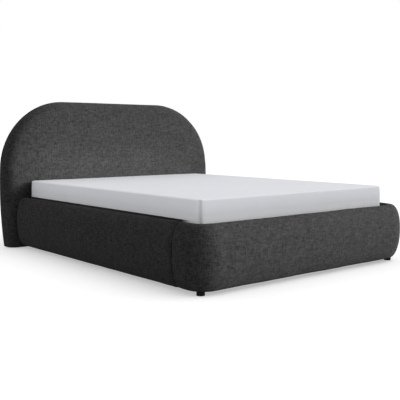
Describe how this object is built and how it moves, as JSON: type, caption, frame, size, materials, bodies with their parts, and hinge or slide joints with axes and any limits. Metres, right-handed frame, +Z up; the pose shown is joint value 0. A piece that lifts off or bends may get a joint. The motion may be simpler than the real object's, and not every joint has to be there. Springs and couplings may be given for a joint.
{
  "type": "upholstered bed",
  "caption": "Low double bed with an arched padded headboard, rounded bolster side rails and footboard in charcoal weave, and a loose mattress on a slatted base.",
  "frame": {"origin": "on the floor, under the middle of the whole bed", "axes": "+X to the bed's right seen from the foot, +Y along the bed from the footboard to the headboard, +Z up; the footboard faces -Y"},
  "size_m": [1.9574, 2.273, 1.1],
  "materials": {
    "cover_weave": "coarse charcoal weave",
    "mattress_ticking": "smooth pale knitted ticking",
    "mattress_underside": "plain pale cloth",
    "lining": "black non-woven cloth",
    "foam": "open-cell foam",
    "plywood": "sawn plywood",
    "softwood": "planed pine",
    "beech": "lacquered laminated beech",
    "black_plastic": "matte black",
    "black_steel": "satin black powder coat",
    "zinc": "bright zinc plate"
  },
  "bodies": {
    "frame": {"headboard_cover": "cover_weave", "headboard_foam": "foam", "headboard_front_panel": "plywood", "headboard_back_panel": "plywood", "headboard_back_cloth": "lining", "headboard_left_post": "softwood", "headboard_right_post": "softwood", "headboard_top_rail": "softwood", "headboard_middle_rail": "softwood", "headboard_bottom_rail": "softwood", "headboard_left_block": "softwood", "headboard_right_block": "softwood", "headboard_centre_block": "softwood", "headboard_glides": "black_plastic", "left_rail_cover": "cover_weave", "right_rail_cover": "cover_weave", "left_rail_foam": "foam", "right_rail_foam": "foam", "left_rail_board": "plywood", "right_rail_board": "plywood", "left_rail_lining": "lining", "right_rail_lining": "lining", "left_ledger": "softwood", "right_ledger": "softwood", "ledger_screws": "zinc", "footboard_cover": "cover_weave", "footboard_foam": "foam", "footboard_left_corner_foam": "foam", "footboard_right_corner_foam": "foam", "footboard_board": "plywood", "footboard_left_post": "softwood", "footboard_right_post": "softwood", "footboard_lining": "lining", "front_feet": "black_plastic", "front_foot_screws": "zinc", "head_left_bracket": "black_steel", "head_right_bracket": "black_steel", "foot_left_bracket": "black_steel", "foot_right_bracket": "black_steel", "bracket_bolts": "zinc", "bracket_washers": "zinc", "threaded_inserts": "zinc", "centre_rail": "black_steel", "head_hanger": "black_steel", "foot_hanger": "black_steel", "hanger_screws": "zinc", "head_leg": "black_steel", "foot_leg": "black_steel", "leg_inserts": "black_plastic", "leg_screws": "zinc", "left_slats": "beech", "right_slats": "beech", "slat_caps": "black_plastic"},
    "mattress": {"mattress_core": "foam", "mattress_cover": "mattress_ticking", "mattress_base_panel": "mattress_underside"},
    "head_leveller_pad": {"head_leveller_pad": "black_plastic"},
    "head_leveller_stem": {"head_leveller_stem": "zinc"},
    "foot_leveller_pad": {"foot_leveller_pad": "black_plastic"},
    "foot_leveller_stem": {"foot_leveller_stem": "zinc"}
  },
  "joints": [
    {"name": "mattress_lift", "type": "slide", "parent": "frame", "child": "mattress", "axis": [0, 0, 1], "range_m": [0, 0.85]},
    {"name": "head_leveller_travel", "type": "slide", "parent": "frame", "child": "head_leveller_pad", "axis": [0, 0, 1], "range_m": [0, 0.015]},
    {"name": "head_leveller_spin", "type": "hinge", "parent": "head_leveller_pad", "child": "head_leveller_stem", "pos_m": [0, 0.4515, 0.02], "axis": [0, 0, 1], "range_deg": [0, 3600]},
    {"name": "foot_leveller_travel", "type": "slide", "parent": "frame", "child": "foot_leveller_pad", "axis": [0, 0, 1], "range_m": [0, 0.015]},
    {"name": "foot_leveller_spin", "type": "hinge", "parent": "foot_leveller_pad", "child": "foot_leveller_stem", "pos_m": [0, -0.4485, 0.02], "axis": [0, 0, 1], "range_deg": [0, 3600]}
  ],
  "couplings": [
    {"joint": "head_leveller_spin", "follows": "head_leveller_travel", "rad_per_m": 4188.8},
    {"joint": "foot_leveller_spin", "follows": "foot_leveller_travel", "rad_per_m": 4188.8}
  ]
}
